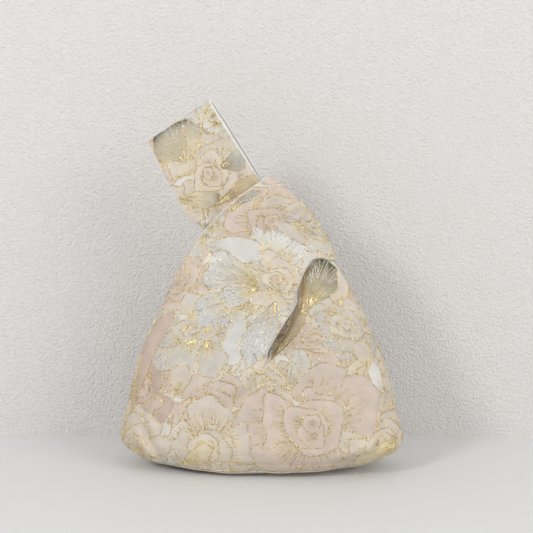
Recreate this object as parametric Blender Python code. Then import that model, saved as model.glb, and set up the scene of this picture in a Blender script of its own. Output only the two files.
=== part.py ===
"""A lined knot bag, knotted: its long handle loop is drawn through its short one.

Metres, +Z up. The origin is the centre of the oval base on the surface that the bag
stands on, and the front faces -Y. The bag is cut like a vest: a front and a back panel
with a short strap on the left and a long strap on the right, both also cut in satin for
the lining. The panels are sewn up the sides and round an oval base, and each strap is
sewn to its twin at the end, which makes a short loop and a long loop. The back is the
front's mirror image in Y.
"""

import math

import bmesh
import bpy
from mathutils import Matrix, Vector

# Cloth, and the small gap that separate pieces of cloth keep.
OUTER_CLOTH = 0.0012
LINING_CLOTH = 0.0006
SEAM_GAP = 0.0003
BASE_RIDGE = 0.0008  # how far the base's seam stands proud of the wall

# Body: half widths and half depths at the heights where its shape changes.
BASE_HALF_WIDTH = 0.098
BASE_HALF_DEPTH = 0.040
BELLY_HEIGHT = 0.025
BELLY_HALF_WIDTH = 0.129
BELLY_HALF_DEPTH = 0.050
NECK_HEIGHT = 0.1025  # bottom of the neckline
NECK_HALF_WIDTH = 0.1085
NECK_HALF_DEPTH = 0.039
SEAM_TOP = 0.150  # the side seams end here and the armholes begin
SEAM_HALF_WIDTH = 0.087
SEAM_HALF_DEPTH = 0.021
FLAT_HEIGHT = 0.212  # above this the cloth lies flat
FLAT_HALF_WIDTH = 0.056
CORNER_POWER = 1.6  # roundness of the lower edge, seen from the front
SECTION_POWER = 2.5  # squareness of the body, seen from above

# Neckline: a narrow notch between the two straps, and the hollow beside it.
NOTCH_MIDDLE = 0.009
NOTCH_WIDTH = 0.003
NOTCH_RISE = 0.010
DRAPE_DEPTH = 0.012
DRAPE_WIDTH = 0.021

# Armholes: how fast front and back part above the side seams, and how far they gape.
ARMHOLE_RISE = 0.020
ARMHOLE_GAPE = 0.0045

# Long loop: half its hand gap where it is squeezed, its bow and its rounded end.
HAND_GAP = 0.004
HANDLE_START = 0.70  # share of the long strap's length where it leaves the short loop
HANDLE_BOW = 0.005
HANDLE_ROUND = 0.008
HANDLE_HEIGHT = 0.328  # the highest point of the bag
HANDLE_END_DROP = 0.035  # how much lower the left end of its top fold is
HANDLE_END_LEFT = (-0.100, HANDLE_HEIGHT - HANDLE_END_DROP)
HANDLE_END_RIGHT = (-0.046, HANDLE_HEIGHT)

# Short loop: where the long loop's right edge enters and leaves it, its slack at these
# places, its bulge between them, its rounded end and the long strap's squeeze inside it.
LOOP_ENTRY = (0.066, 0.186)
LOOP_EXIT = (0.001, 0.256)
ENTRY_SLACK = 0.0055
EXIT_SLACK = 0.010
LOOP_BULGE = 0.008
LOOP_ROUND = 0.008
LOOP_SQUEEZE = 0.003
CROSSING_GAP = 0.0019

# Places, as x and z, that the straps' edges pass through: the short strap's armhole side,
# the neckline, the long strap's edge hidden under the short one, and the handle's left side.
SHORT_SHOULDER = (-0.0605, 0.199)
SHORT_BEND = (-0.030, 0.2345)
NECKLINE_LOW = (0.023, 0.136)
NECKLINE_MIDDLE = (0.031, 0.160)
NECKLINE_HIGH = (0.047, 0.1895)
HIDDEN_LOW = (0.004, 0.124)
HIDDEN_MIDDLE = (-0.007, 0.144)
HIDDEN_HIGH = (-0.028, 0.178)
HANDLE_FOOT = (-0.053, 0.214)
HANDLE_KNEE = (-0.0635, 0.2255)
HANDLE_SIDE = (-0.079, 0.252)

# Soft folds that run up into the loop.
FOLD_DEPTH = 0.0016
FOLD_COUNT = 3

# Fineness of the panels.
BODY_ROWS = 9
SHORT_ROWS = 11
LONG_ROWS = 16
FOLD_ROWS = 4  # the last rows of a strap, round its end
STRAP_COLUMNS = 10

# What follows from these sizes.
WALL_FOOT = OUTER_CLOTH + SEAM_GAP
CLOTH_STACK = OUTER_CLOTH + SEAM_GAP + LINING_CLOTH
LONG_HALF_GAP = HAND_GAP / 2 + CLOTH_STACK
SHORT_LIFT = CLOTH_STACK + CROSSING_GAP
NOTCH_LEFT = NOTCH_MIDDLE - NOTCH_WIDTH / 2
NOTCH_RIGHT = NOTCH_MIDDLE + NOTCH_WIDTH / 2
NOTCH_TOP = NECK_HEIGHT + NOTCH_RISE


def mix(a, b, share):
    return a + (b - a) * share


def smooth(t):
    """0 to 1 with level ends."""
    t = min(max(t, 0.0), 1.0)
    return t * t * (3 - 2 * t)


def curve(knots, t):
    """A smooth curve through knots, each (parameter, value, ...), read at parameter t."""
    last = len(knots) - 2
    i = max(j for j in range(last + 1) if j == 0 or knots[j][0] <= t)

    def slope(j):
        before, after = knots[max(j - 1, 0)], knots[min(j + 1, last + 1)]
        return (Vector(after[1:]) - Vector(before[1:])) / (after[0] - before[0])

    start, end = knots[i], knots[i + 1]
    span = end[0] - start[0]
    f = (t - start[0]) / span
    return (
        Vector(start[1:]) * (1 + 2 * f) * (1 - f) ** 2
        + slope(i) * span * f * (1 - f) ** 2
        + Vector(end[1:]) * f * f * (3 - 2 * f)
        - slope(i + 1) * span * f * f * (1 - f)
    )


BODY_PROFILE = (
    (BELLY_HEIGHT, BELLY_HALF_WIDTH, BELLY_HALF_DEPTH),
    (NECK_HEIGHT, NECK_HALF_WIDTH, NECK_HALF_DEPTH),
    (SEAM_TOP, SEAM_HALF_WIDTH, SEAM_HALF_DEPTH),
    (FLAT_HEIGHT, FLAT_HALF_WIDTH, 0.0),
)


def half_sizes(z):
    """The body's half width and half depth at height z."""
    if z >= BELLY_HEIGHT:
        width, depth = curve(BODY_PROFILE, min(z, FLAT_HEIGHT))
        return width, max(depth, 0.0)
    drop = (BELLY_HEIGHT - z) / (BELLY_HEIGHT - WALL_FOOT)
    share = (1 - min(drop, 1.0) ** CORNER_POWER) ** (1 / CORNER_POWER)
    return (
        mix(BASE_HALF_WIDTH, BELLY_HALF_WIDTH, share),
        mix(BASE_HALF_DEPTH, BELLY_HALF_DEPTH, share),
    )


def armhole_opening(z):
    """0 on the side seams, 1 where front and back are fully parted."""
    return smooth((z - SEAM_TOP) / ARMHOLE_RISE)


def depth(x, z):
    """How far in front of the middle plane the bag's cloth is at x and z."""
    width, bulge = half_sizes(z)
    inside = max(1 - abs(x / width) ** SECTION_POWER, 0.0)
    gape_top = SEAM_TOP + ARMHOLE_RISE
    gape = ARMHOLE_GAPE * (1 - smooth((z - gape_top) / (FLAT_HEIGHT - gape_top)))
    parted = (LONG_HALF_GAP + gape) * armhole_opening(z)
    return math.hypot(parted, bulge * inside ** (1 / SECTION_POWER))


def drape(x, z):
    """The hollow beside the neckline, which lies over the long strap."""
    rise = smooth((z - NECK_HEIGHT) / NOTCH_RISE)
    fade = 1 - smooth((z - NOTCH_TOP) / (FLAT_HEIGHT - NOTCH_TOP))
    edge = mix(NOTCH_RIGHT, LOOP_ENTRY[0], 0.6 * smooth((z - NECK_HEIGHT) / NECK_HEIGHT))
    beyond = max(x - edge, 0.0) / DRAPE_WIDTH
    return DRAPE_DEPTH * rise * fade * math.exp(-beyond * beyond)


def lift(x, z):
    """How far the short strap lies in front of the long one."""
    rise = smooth((z - NECK_HEIGHT) / NOTCH_RISE)
    from_seam = smooth((x + half_sizes(z)[0]) / (NECK_HALF_WIDTH / 2))
    return SHORT_LIFT * rise * max(from_seam, armhole_opening(z))


def loop_line():
    """The long strap's right edge in the short loop: its middle, and the way out of it."""
    entry, leave = Vector(LOOP_ENTRY), Vector(LOOP_EXIT)
    along = (leave - entry).normalized()
    out = Vector((along.y, -along.x))
    return entry, leave, out


def short_edges():
    """Knots of the short strap's left and right edges: share of its length, x, z."""
    entry, leave, out = loop_line()
    top = leave + out * EXIT_SLACK
    bottom = entry + out * ENTRY_SLACK
    left = (
        (0.0, -NECK_HALF_WIDTH, NECK_HEIGHT),
        (0.35, -SEAM_HALF_WIDTH, SEAM_TOP),
        (0.62, *SHORT_SHOULDER),
        (0.80, *SHORT_BEND),
        (1.0, top.x, top.y),
    )
    right = (
        (0.0, NOTCH_LEFT, NECK_HEIGHT),
        (0.07, NOTCH_LEFT + 0.001, NOTCH_TOP),
        (0.38, *NECKLINE_LOW),
        (0.65, *NECKLINE_MIDDLE),
        (0.87, *NECKLINE_HIGH),
        (1.0, bottom.x, bottom.y),
    )
    return left, right


def long_edges():
    """Knots of the long strap's left and right edges: share of its length, x, z."""
    entry, leave, out = loop_line()
    squeezed = (entry + leave) / 2 - out * LOOP_SQUEEZE
    left = (
        (0.0, NOTCH_RIGHT, NECK_HEIGHT),
        (0.05, NOTCH_RIGHT - 0.001, NOTCH_TOP),
        (0.20, *HIDDEN_LOW),
        (0.35, *HIDDEN_MIDDLE),
        (0.52, *HIDDEN_HIGH),
        (HANDLE_START, *HANDLE_FOOT),
        (0.77, *HANDLE_KNEE),
        (0.87, *HANDLE_SIDE),
        (1.0, *HANDLE_END_LEFT),
    )
    right = (
        (0.0, NECK_HALF_WIDTH, NECK_HEIGHT),
        (0.20, SEAM_HALF_WIDTH, SEAM_TOP),
        (0.35, entry.x, entry.y),
        (0.52, squeezed.x, squeezed.y),
        (HANDLE_START, leave.x, leave.y),
        (1.0, *HANDLE_END_RIGHT),
    )
    return left, right


def strap_length(edges):
    """Length of the line halfway between a strap's edges."""
    steps = 24
    middle = [(curve(edges[0], i / steps) + curve(edges[1], i / steps)) / 2 for i in range(steps + 1)]
    return sum((b - a).length for a, b in zip(middle, middle[1:]))


def strap_rows(rows, first, rounding):
    """Shares of a strap's length for its rows: one at the notch, then even, then round the end."""
    even = rows - FOLD_ROWS - 1
    shares = [mix(first, 1 - rounding, i / even) for i in range(even + 1)]
    for i in range(1, FOLD_ROWS + 1):
        turn = math.sin(0.5 * math.pi * i / FOLD_ROWS)
        shares.append(1 - rounding * (1 - turn))
    return shares


def round_end(share, rounding):
    """1 along the strap, falling to 0 round its end as a quarter of an ellipse."""
    left = min((1 - share) / rounding, 1.0)
    return math.sqrt(max(1 - (1 - left) ** 2, 0.0))


def section_angles():
    """Angles of the columns from the left seam to the notch and from the notch to the right."""
    left_end = notch_angle(NOTCH_LEFT)
    right_start = notch_angle(NOTCH_RIGHT)
    quarter = math.pi / 2
    short = [mix(-quarter, left_end, i / STRAP_COLUMNS) for i in range(STRAP_COLUMNS + 1)]
    long = [mix(right_start, quarter, i / STRAP_COLUMNS) for i in range(STRAP_COLUMNS + 1)]
    return short + long


def notch_angle(x):
    share = abs(x) / NECK_HALF_WIDTH
    return math.copysign(math.asin(share ** (SECTION_POWER / 2)), x)


def section(width, bulge, angle):
    """A point of the body's section, seen from above, as x and distance from the middle plane."""
    power = 2 / SECTION_POWER
    x = math.copysign(abs(math.sin(angle)) ** power, angle) * width
    return x, max(math.cos(angle), 0.0) ** power * bulge


def body_height(row):
    """Height of a row of the body: closer together round the lower edge."""
    share = row / BODY_ROWS
    return mix(WALL_FOOT, NECK_HEIGHT, share ** 1.5)


def body_point(row, column, angles):
    z = NECK_HEIGHT if row == BODY_ROWS else body_height(row)
    x, out = section(*half_sizes(z), angles[column])
    return Vector((x, -max(out, SEAM_GAP / 2), z))


def strap_point(edges, share, across):
    """Where a strap's surface is in X and Z."""
    return curve(edges[0], share).lerp(curve(edges[1], share), across)


def folds(across, share):
    """Soft folds along a strap, strongest where it goes into the loop."""
    swell = math.sin(math.pi * min(max(share, 0.0), 1.0)) ** 2 * math.sin(math.pi * across)
    return FOLD_DEPTH * swell * math.sin(2 * math.pi * FOLD_COUNT * across)


def spread(start, column, share):
    """A column's place across its strap: as on the body at first, then evenly spaced."""
    return mix(start, column / STRAP_COLUMNS, smooth(share / 0.5))


def short_point(share, column, angles, edges, rounding):
    x0, _ = section(NECK_HALF_WIDTH, NECK_HALF_DEPTH, angles[column])
    start = (x0 + NECK_HALF_WIDTH) / (NOTCH_LEFT + NECK_HALF_WIDTH)
    across = spread(start, column, share)
    x, z = strap_point(edges, share, across)
    out = loop_line()[2]
    bulge = LOOP_BULGE * 4 * across * (1 - across) * smooth((share - 0.7) / 0.3)
    x, z = x + out.x * bulge, z + out.y * bulge
    if column == 0 and z <= SEAM_TOP:
        return Vector((-half_sizes(z)[0], -SEAM_GAP / 2, z))
    y = (depth(x, z) + lift(x, z) + folds(across, share)) * round_end(share, rounding)
    return Vector((x, -max(y, SEAM_GAP / 2), z))


def long_point(share, column, angles, edges, rounding):
    x0, _ = section(NECK_HALF_WIDTH, NECK_HALF_DEPTH, angles[column + STRAP_COLUMNS + 1])
    start = (x0 - NOTCH_RIGHT) / (NECK_HALF_WIDTH - NOTCH_RIGHT)
    across = spread(start, column, share)
    x, z = strap_point(edges, share, across)
    if column == STRAP_COLUMNS and z <= SEAM_TOP:
        return Vector((half_sizes(z)[0], -SEAM_GAP / 2, z))
    handle = max((share - HANDLE_START) / (1 - HANDLE_START), 0.0)
    bow = HANDLE_BOW * math.sin(math.pi * handle)
    flat = max(depth(x, z) - drape(x, z), LONG_HALF_GAP * armhole_opening(z)) + bow
    return Vector((x, -max(flat * round_end(share, rounding), SEAM_GAP / 2), z))


def kept_in_front(y, way):
    """A way into the cloth that leaves even the lining on its own side of the middle plane."""
    room = max((-SEAM_GAP / 2 - y) / CLOTH_STACK, 0.0)
    back = min(way.y, room)
    flat = Vector((way.x, way.z)).normalized() * math.sqrt(1 - back * back)
    return Vector((flat.x, back, flat.y))


def front_panel():
    """The front panel's outer face as a triangulated sheet, and how each vertex is thickened."""
    angles = section_angles()
    short, long = short_edges(), long_edges()
    short_round = LOOP_ROUND / strap_length(short)
    long_round = HANDLE_ROUND / strap_length(long)
    short_shares = strap_rows(SHORT_ROWS, short[1][1][0], short_round)
    long_shares = strap_rows(LONG_ROWS, long[0][1][0], long_round)
    columns = 2 * STRAP_COLUMNS + 1
    rows = BODY_ROWS + LONG_ROWS

    bm = bmesh.new()
    bmesh.ops.create_grid(bm, x_segments=columns, y_segments=rows, size=0.5)
    place = {}
    for vertex in bm.verts:
        column = round((vertex.co.x + 0.5) * columns)
        row = round((vertex.co.y + 0.5) * rows)
        place[vertex] = (row, column)

    def cut_away(face):
        low_row = min(place[v][0] for v in face.verts)
        low_column = min(place[v][1] for v in face.verts)
        if low_row < BODY_ROWS:
            return False
        past_short = low_row >= BODY_ROWS + SHORT_ROWS and low_column < STRAP_COLUMNS
        return low_column == STRAP_COLUMNS or past_short

    bmesh.ops.delete(bm, geom=[f for f in bm.faces if cut_away(f)], context="FACES")
    bmesh.ops.triangulate(bm, faces=bm.faces[:], quad_method="FIXED")

    foot = [vertex for vertex in bm.verts if place[vertex][0] == 0]
    for vertex in bm.verts:
        row, column = place[vertex]
        strap_row = row - BODY_ROWS
        if strap_row <= 0:
            vertex.co = body_point(row, column, angles)
        elif column <= STRAP_COLUMNS:
            vertex.co = short_point(short_shares[strap_row - 1], column, angles, short, short_round)
        else:
            vertex.co = long_point(
                long_shares[strap_row - 1], column - STRAP_COLUMNS - 1, angles, long, long_round
            )
    bm.normal_update()
    inward = {vertex: -vertex.normal for vertex in bm.verts}
    for vertex in foot:
        inward[vertex].z = 0.0
    for vertex, way in inward.items():
        inward[vertex] = kept_in_front(vertex.co.y, way.normalized())
    return bm, inward


def panel(name, material, start, cloth, side):
    """A closed sheet of cloth that starts at a depth below the outer face; side -1 is the front."""
    bm, inward = front_panel()
    for vertex in bm.verts:
        vertex.co += inward[vertex] * start
    near = bm.verts[:]
    rim = [edge for edge in bm.edges if edge.is_boundary]
    copy = bmesh.ops.duplicate(bm, geom=near + bm.edges[:] + bm.faces[:])
    copied_faces = [g for g in copy["geom"] if isinstance(g, bmesh.types.BMFace)]
    bmesh.ops.reverse_faces(bm, faces=copied_faces)
    twins = {vertex: copy["vert_map"][vertex] for vertex in near}
    for vertex, twin in twins.items():
        twin.co += inward[vertex] * cloth
    for edge in rim:
        loop = edge.link_loops[0]
        a, b = loop.vert, loop.link_loop_next.vert
        bm.faces.new((b, a, twins[a]))
        bm.faces.new((b, twins[a], twins[b]))
    if side > 0:
        bmesh.ops.transform(bm, matrix=Matrix.Scale(-1, 4, (0, 1, 0)), verts=bm.verts[:])
        bmesh.ops.reverse_faces(bm, faces=bm.faces[:])
    return finish(name, bm, material)


def base(name, material, inset, low, cloth):
    """An oval panel, level with the walls' foot, brought in from it by inset."""
    bm = bmesh.new()
    angles = section_angles()
    front = [outline_point(angle, inset) for angle in angles]
    back = [Vector((p.x, -p.y, 0.0)) for p in front[-2:0:-1]]
    ring = [bm.verts.new((p.x, p.y, low)) for p in front + back]
    floor = bm.faces.new(ring)
    lid = bmesh.ops.extrude_face_region(bm, geom=[floor])["geom"]
    lid_verts = [g for g in lid if isinstance(g, bmesh.types.BMVert)]
    bmesh.ops.translate(bm, vec=(0, 0, cloth), verts=lid_verts)
    bmesh.ops.recalc_face_normals(bm, faces=bm.faces[:])
    return finish(name, bm, material)


def outline_point(angle, inset):
    """A point of the base's front outline, moved inwards at right angles to it."""
    x, out = section(BASE_HALF_WIDTH, BASE_HALF_DEPTH, angle)
    slope_x = math.copysign(abs(x / BASE_HALF_WIDTH) ** (SECTION_POWER - 1) / BASE_HALF_WIDTH, x)
    slope_y = -((out / BASE_HALF_DEPTH) ** (SECTION_POWER - 1)) / BASE_HALF_DEPTH
    normal = Vector((slope_x, slope_y, 0.0)).normalized()
    return Vector((x, -out, 0.0)) - normal * inset


def finish(name, bm, material):
    mesh = bpy.data.meshes.new(name)
    bm.to_mesh(mesh)
    bm.free()
    mesh.shade_smooth()
    mesh.set_sharp_from_angle(angle=math.radians(50))
    mesh.materials.append(material)
    thing = bpy.data.objects.new(name, mesh)
    bpy.context.scene.collection.objects.link(thing)
    return thing


def cloth_material(name, colour, roughness, metallic, sheen):
    material = bpy.data.materials.new(name)
    material.use_nodes = True
    shader = material.node_tree.nodes["Principled BSDF"]
    shader.inputs["Base Color"].default_value = (*colour, 1.0)
    shader.inputs["Roughness"].default_value = roughness
    shader.inputs["Metallic"].default_value = metallic
    shader.inputs["Sheen Weight"].default_value = sheen
    return material


def build():
    for thing in list(bpy.data.objects):
        bpy.data.objects.remove(thing, do_unlink=True)
    brocade = cloth_material("brocade", (0.72, 0.66, 0.56), 0.45, 0.15, 0.3)
    satin = cloth_material("satin", (0.78, 0.77, 0.75), 0.30, 0.10, 0.2)
    lining_start = OUTER_CLOTH + SEAM_GAP
    for word, side in (("front", -1), ("back", 1)):
        panel("outer_" + word, brocade, 0.0, OUTER_CLOTH, side)
        panel("lining_" + word, satin, lining_start, LINING_CLOTH, side)
    base("outer_base", brocade, -BASE_RIDGE, 0.0, OUTER_CLOTH)
    base("lining_base", satin, CLOTH_STACK + SEAM_GAP, WALL_FOOT, LINING_CLOTH)


build()
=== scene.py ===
"""The looks of a knot bag in floral brocade with a satin lining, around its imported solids."""

import math
import random
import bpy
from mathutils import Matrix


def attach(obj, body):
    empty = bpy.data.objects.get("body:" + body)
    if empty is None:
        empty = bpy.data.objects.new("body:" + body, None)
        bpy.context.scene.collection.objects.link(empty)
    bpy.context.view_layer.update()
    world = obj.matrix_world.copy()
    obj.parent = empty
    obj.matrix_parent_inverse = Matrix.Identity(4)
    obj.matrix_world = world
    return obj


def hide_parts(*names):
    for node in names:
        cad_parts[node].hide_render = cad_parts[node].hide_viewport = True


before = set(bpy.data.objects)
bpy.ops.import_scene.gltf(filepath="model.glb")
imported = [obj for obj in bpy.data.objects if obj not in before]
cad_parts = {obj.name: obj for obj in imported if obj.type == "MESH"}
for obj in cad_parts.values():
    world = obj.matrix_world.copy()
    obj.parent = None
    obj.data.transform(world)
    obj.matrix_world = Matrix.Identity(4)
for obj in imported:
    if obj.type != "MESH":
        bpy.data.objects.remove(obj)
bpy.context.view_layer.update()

from types import SimpleNamespace

import bmesh
import bpy
import numpy as np
from mathutils import Matrix, Vector, noise
from mathutils.bvhtree import BVHTree
from mathutils.geometry import barycentric_transform
from mathutils.kdtree import KDTree

# The outer cloth, front and back: brocade cut as one body with two straps, sewn at the sides
# and turned in along the neckline, armholes and loops. The long strap, on the right, runs
# through the short one, so front to back there are four layers at the crossing.
def mix(a, b, share):
    return a + (b - a) * share


def smooth(t):
    t = min(max(t, 0.0), 1.0)
    return t * t * (3 - 2 * t)


def curve(knots, t):
    """A smooth curve through knots, each (parameter, value, ...), read at parameter t."""
    last = len(knots) - 2
    i = max(j for j in range(last + 1) if j == 0 or knots[j][0] <= t)

    def slope(j):
        before, after = knots[max(j - 1, 0)], knots[min(j + 1, last + 1)]
        return (Vector(after[1:]) - Vector(before[1:])) / (after[0] - before[0])

    start, end = knots[i], knots[i + 1]
    span = end[0] - start[0]
    f = (t - start[0]) / span
    return (
        Vector(start[1:]) * (1 + 2 * f) * (1 - f) ** 2
        + slope(i) * span * f * (1 - f) ** 2
        + Vector(end[1:]) * f * f * (3 - 2 * f)
        - slope(i + 1) * span * f * f * (1 - f)
    )


# The body's half widths and half depths at the heights where its shape changes.
BASE_HALF_WIDTH = 0.098
BASE_HALF_DEPTH = 0.040
BELLY_HEIGHT = 0.025
BELLY_HALF_WIDTH = 0.129
BELLY_HALF_DEPTH = 0.050
NECK_HEIGHT = 0.1025  # bottom of the neckline
NECK_HALF_WIDTH = 0.1085
NECK_HALF_DEPTH = 0.039
SEAM_TOP = 0.150  # the side seams end here and the armholes begin
SEAM_HALF_WIDTH = 0.087
SEAM_HALF_DEPTH = 0.021
FLAT_HEIGHT = 0.212  # above this the cloth lies flat
FLAT_HALF_WIDTH = 0.056
BODY_PROFILE = (
    (BELLY_HEIGHT, BELLY_HALF_WIDTH, BELLY_HALF_DEPTH),
    (NECK_HEIGHT, NECK_HALF_WIDTH, NECK_HALF_DEPTH),
    (SEAM_TOP, SEAM_HALF_WIDTH, SEAM_HALF_DEPTH),
    (FLAT_HEIGHT, FLAT_HALF_WIDTH, 0.0),
)
WALL_FOOT = 0.0015
CORNER_POWER = 1.6  # roundness of the lower edge, seen from the front
SECTION_POWER = 2.5  # squareness of the body, seen from above
BELLY_TURN = 0.009  # how far up and down the belly's turn is softened
BELLY_TURN_TOP = 0.04
BELLY_TURN_FADE = 0.02


def sharp_half_sizes(z):
    """The body's half width and half depth at height z, as cut."""
    if z >= BELLY_HEIGHT:
        width, deep = curve(BODY_PROFILE, min(z, FLAT_HEIGHT))
        return width, max(deep, 0.0)
    drop = (BELLY_HEIGHT - z) / (BELLY_HEIGHT - WALL_FOOT)
    share = (1 - min(drop, 1.0) ** CORNER_POWER) ** (1 / CORNER_POWER)
    return (
        mix(BASE_HALF_WIDTH, BELLY_HALF_WIDTH, share),
        mix(BASE_HALF_DEPTH, BELLY_HALF_DEPTH, share),
    )


def half_sizes(z):
    """The same with the belly's turn softened, since cloth doesn't crease there."""
    soft = min(max(z - WALL_FOOT, 0.0), BELLY_TURN)
    soft *= 1 - smooth((z - BELLY_TURN_TOP) / BELLY_TURN_FADE)
    if not soft:
        return sharp_half_sizes(z)
    low, here, high = (sharp_half_sizes(z + step) for step in (-soft, 0.0, soft))
    return tuple((a + 2 * b + c) / 4 for a, b, c in zip(low, here, high))


# Creases: where each starts and ends, how deep it is and how wide, as the bag is seen.
CREASES = (
    ((-0.080, 0.158), (-0.104, 0.050), 0.0030, 0.0060),
    ((-0.113, 0.052), (-0.082, 0.010), 0.0026, 0.0045),
    ((-0.100, 0.072), (-0.070, 0.058), 0.0014, 0.0050),
    ((0.112, 0.084), (0.111, 0.026), 0.0028, 0.0050),
    ((0.108, 0.028), (0.074, 0.008), 0.0022, 0.0045),
    ((0.096, 0.135), (0.086, 0.098), 0.0018, 0.0055),
    ((0.006, 0.092), (-0.022, 0.066), 0.0016, 0.0060),
    ((0.014, 0.094), (0.036, 0.074), 0.0012, 0.0055),
    ((-0.066, 0.172), (-0.030, 0.146), 0.0018, 0.0060),
    ((-0.040, 0.196), (0.010, 0.178), 0.0012, 0.0055),
    ((0.018, 0.224), (0.052, 0.200), 0.0016, 0.0045),
    ((0.006, 0.236), (0.030, 0.206), 0.0012, 0.0040),
    ((-0.020, 0.020), (0.016, 0.010), 0.0012, 0.0060),
)
CREASE_END = 0.015  # the length over which a crease fades at each end
CREASE_WANDER = 0.0025  # how far it strays from its line
CREASE_BEND = 0.011


def creases(x, z):
    """Soft valleys with a raised lip beside each."""
    total = 0.0
    for start, end, deep, wide in CREASES:
        dx, dz = end[0] - start[0], end[1] - start[1]
        length = math.hypot(dx, dz)
        along = ((x - start[0]) * dx + (z - start[1]) * dz) / length
        beside = ((x - start[0]) * dz - (z - start[1]) * dx) / length
        beside += CREASE_WANDER * math.sin(along / CREASE_BEND)
        fade = smooth(along / CREASE_END + 0.5) * smooth((length - along) / CREASE_END + 0.5)
        valley = math.exp(-((beside / wide) ** 2))
        lip = 0.6 * math.exp(-(((beside - 1.9 * wide) / (1.2 * wide)) ** 2))
        total += deep * fade * (lip - valley)
    return total


# Dents and swellings of filled cloth: how deep, how wide, their seed and how high.
DENTS = ((0.0026, 0.055, 1.7, 0.045), (0.0010, 0.022, 5.3, 0.026))
DENTS_TOP = 0.15
DENTS_FADE = 0.06
SEAM_MARGIN = 0.03
FOOT_MARGIN = 0.004


def soft_dents(x, z):
    """Broad, shallow dents and the creases, none of them at the side seams or the foot."""
    width = half_sizes(z)[0]
    away = smooth((width - abs(x)) / SEAM_MARGIN) * smooth((z - FOOT_MARGIN) / 0.02)
    dents = sum(
        deep * noise.noise(Vector((x / wide, seed, z / high))) for deep, wide, seed, high in DENTS
    )
    fade = 1 - smooth((z - DENTS_TOP) / DENTS_FADE)
    return away * (fade * dents + creases(x, z))


LONG_HALF_GAP = 0.0041  # half the gap between the long loop's front and back
ARMHOLE_RISE = 0.020  # the height over which front and back part above the side seams
ARMHOLE_GAPE = 0.0045


def armhole_opening(z):
    return smooth((z - SEAM_TOP) / ARMHOLE_RISE)


def depth(x, z):
    """How far in front of the middle plane the cloth is at x and z."""
    width, bulge = half_sizes(z)
    inside = max(1 - abs(x / width) ** SECTION_POWER, 0.0)
    gape_top = SEAM_TOP + ARMHOLE_RISE
    gape = ARMHOLE_GAPE * (1 - smooth((z - gape_top) / (FLAT_HEIGHT - gape_top)))
    parted = (LONG_HALF_GAP + gape) * armhole_opening(z)
    return math.hypot(parted, bulge * inside ** (1 / SECTION_POWER)) + soft_dents(x, z)


# The neckline: its lowest point is a narrow notch, and the hollow beside it leans towards
# the place where the long strap's right edge enters the short loop.
NOTCH_LEFT = 0.0084
NOTCH_RIGHT = 0.0096
NOTCH_RISE = 0.010
LOOP_ENTRY = Vector((0.066, 0.186))
LOOP_EXIT = Vector((0.001, 0.256))
DRAPE_DEPTH = 0.0145
DRAPE_WIDTH = 0.020
DRAPE_RISE = 0.018
DRAPE_LEAN = 0.6
DRAPE_NARROWS = 0.135  # above this the hollow narrows to half its width
DRAPE_NARROWING = 0.05
PUFF_DEPTH = 0.0024  # the swelling at the hollow's top: how deep, where and how large
PUFF_X, PUFF_Z = 0.064, 0.175
PUFF_WIDTH, PUFF_HEIGHT = 0.010, 0.008


def drape(x, z):
    """The hollow beside the neckline, which lies over the long strap."""
    rise = smooth((z - NECK_HEIGHT) / DRAPE_RISE)
    notch_top = NECK_HEIGHT + NOTCH_RISE
    fade = 1 - smooth((z - notch_top) / (FLAT_HEIGHT - notch_top))
    lean = DRAPE_LEAN * smooth((z - NECK_HEIGHT) / NECK_HEIGHT)
    edge = mix(NOTCH_RIGHT, LOOP_ENTRY.x, lean)
    narrow = smooth((z - DRAPE_NARROWS) / DRAPE_NARROWING)
    beyond = max(x - edge, 0.0) / mix(DRAPE_WIDTH, 0.5 * DRAPE_WIDTH, narrow)
    puff_x, puff_z = (x - PUFF_X) / PUFF_WIDTH, (z - PUFF_Z) / PUFF_HEIGHT
    puff = PUFF_DEPTH * math.exp(-(puff_x**2) - puff_z**2)
    return DRAPE_DEPTH * rise * fade * math.exp(-beyond * beyond) - puff


SHORT_LIFT = 0.0028
LIFT_RISE = 0.055
LIFT_REACH = 0.050


def lift(x, z):
    """How far the short strap lies in front of the long one."""
    fast = smooth((z - NECK_HEIGHT) / NOTCH_RISE)
    slow = smooth((z - NECK_HEIGHT) / LIFT_RISE)
    edge = mix(NOTCH_LEFT, LOOP_ENTRY.x, smooth((z - NECK_HEIGHT) / NECK_HEIGHT))
    rise = mix(slow, fast, smooth(1 - (edge - x) / LIFT_REACH))
    from_seam = smooth((x + half_sizes(z)[0]) / (NECK_HALF_WIDTH / 2))
    return SHORT_LIFT * rise * max(from_seam, armhole_opening(z))


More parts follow.
